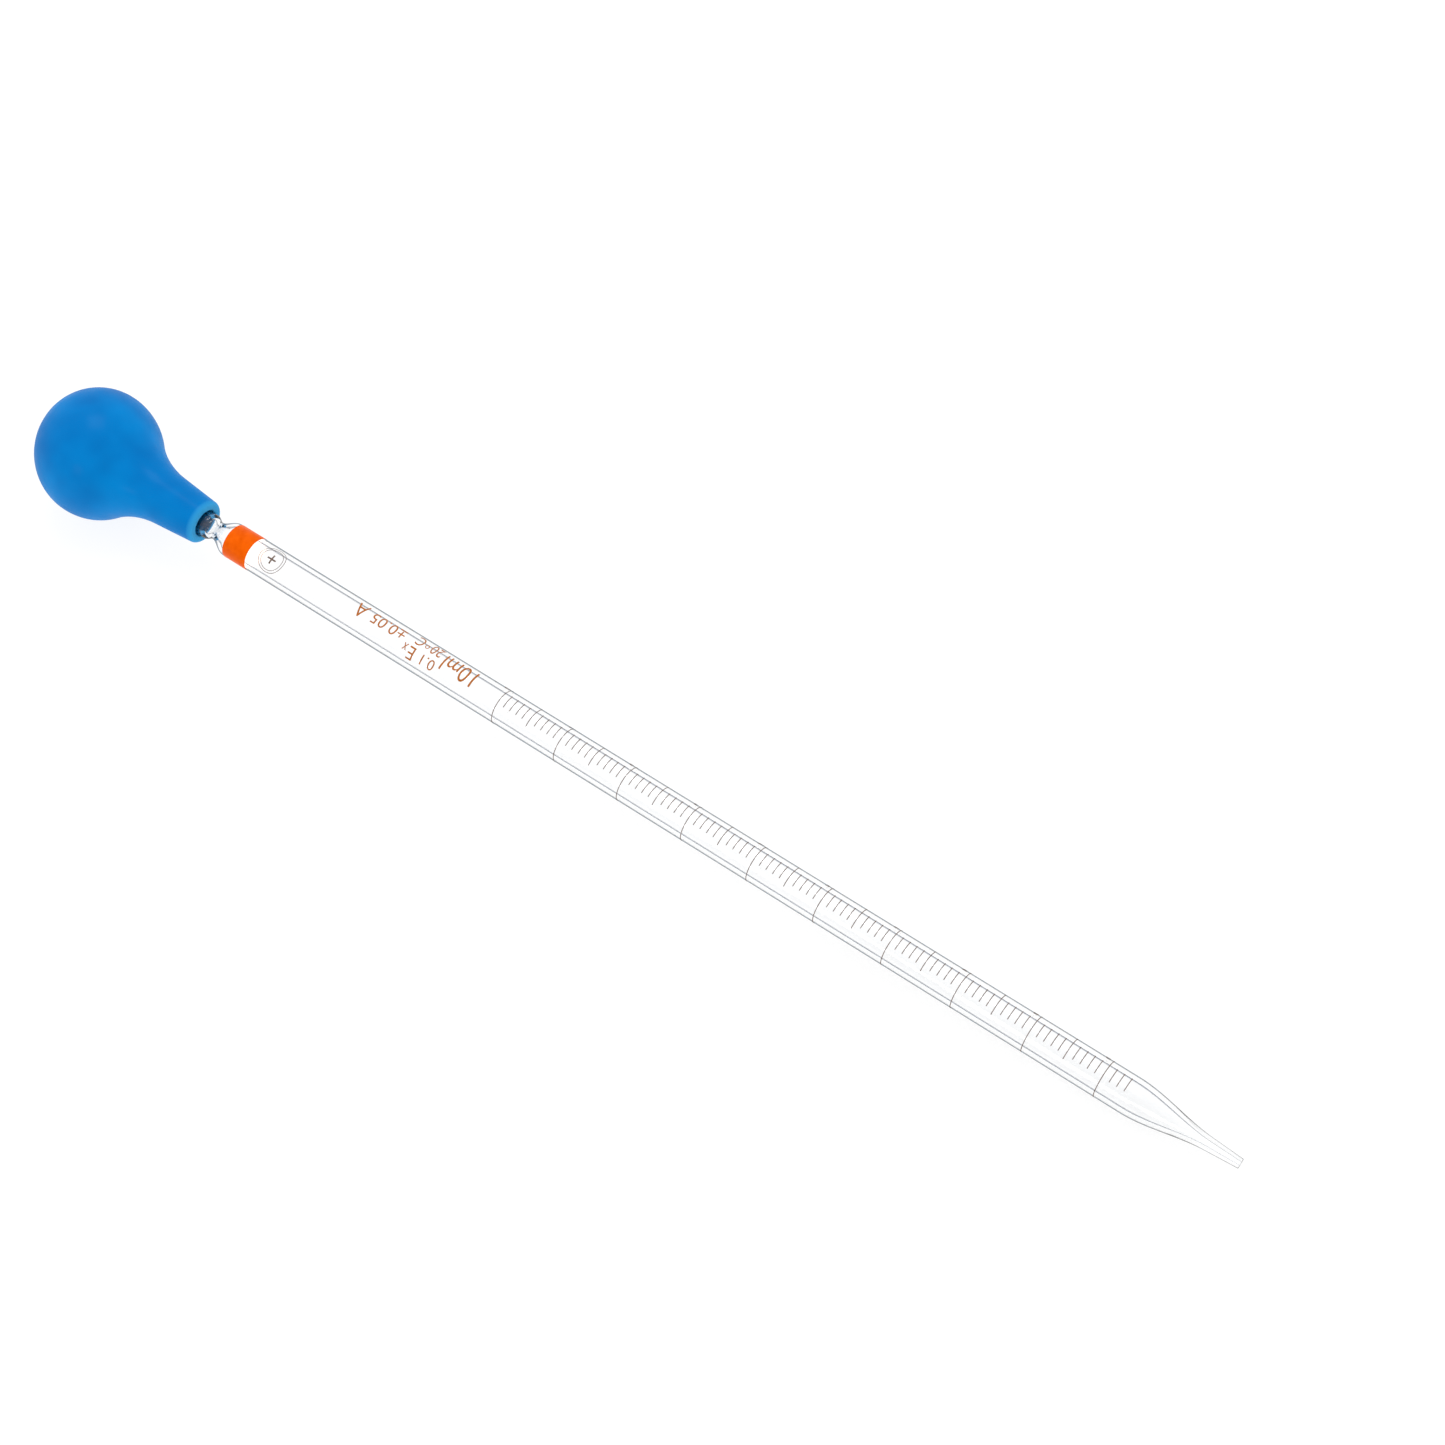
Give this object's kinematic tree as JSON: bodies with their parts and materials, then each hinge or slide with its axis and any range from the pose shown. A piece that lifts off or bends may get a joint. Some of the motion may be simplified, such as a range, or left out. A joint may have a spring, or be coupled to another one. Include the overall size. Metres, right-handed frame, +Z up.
{
  "type": "graduated pipette with rubber suction bulb",
  "caption": "Straight graduated glass pipette with a drawn tip, a fired scale and an orange code band, and a blue rubber suction bulb pushed over its mouthpiece.",
  "frame": {"origin": "on the bench under the middle of the pipette as it lies, the bottom centre of its box", "axes": "+X along the bench from the bulb towards the delivery tip, +Z up off the bench, the printed scale faces up"},
  "size_m": [0.4038, 0.0386, 0.0386],
  "materials": {
    "clear_glass": "clear, fire polished",
    "band_enamel": "glossy fired enamel",
    "mark_enamel": "thin fired enamel, brown",
    "bulb_rubber": "moulded rubber, soft satin"
  },
  "bodies": {
    "pipette": {"glass_tip": "clear_glass", "glass_stem_lower": "clear_glass", "glass_stem_upper": "clear_glass", "glass_mouthpiece": "clear_glass", "colour_band": "band_enamel", "ring_mark_0": "mark_enamel", "ring_mark_1": "mark_enamel", "ring_mark_2": "mark_enamel", "ring_mark_3": "mark_enamel", "ring_mark_4": "mark_enamel", "ring_mark_5": "mark_enamel", "ring_mark_6": "mark_enamel", "ring_mark_7": "mark_enamel", "ring_mark_8": "mark_enamel", "ring_mark_9": "mark_enamel"},
    "bulb": {"bulb_collar": "bulb_rubber", "bulb_wall": "bulb_rubber"},
    "crown": {"bulb_crown": "bulb_rubber"}
  },
  "joints": [
    {"name": "bulb_pull_off", "type": "slide", "parent": "pipette", "child": "bulb", "axis": [-0.9992, 0, 0.0399], "range_m": [0, 0.03]},
    {"name": "bulb_squeeze", "type": "slide", "parent": "bulb", "child": "crown", "axis": [0.9992, 0, -0.0399], "range_m": [0, 0.012], "stiffness_N_per_m": 150, "deforming": ["bulb_wall"]}
  ]
}
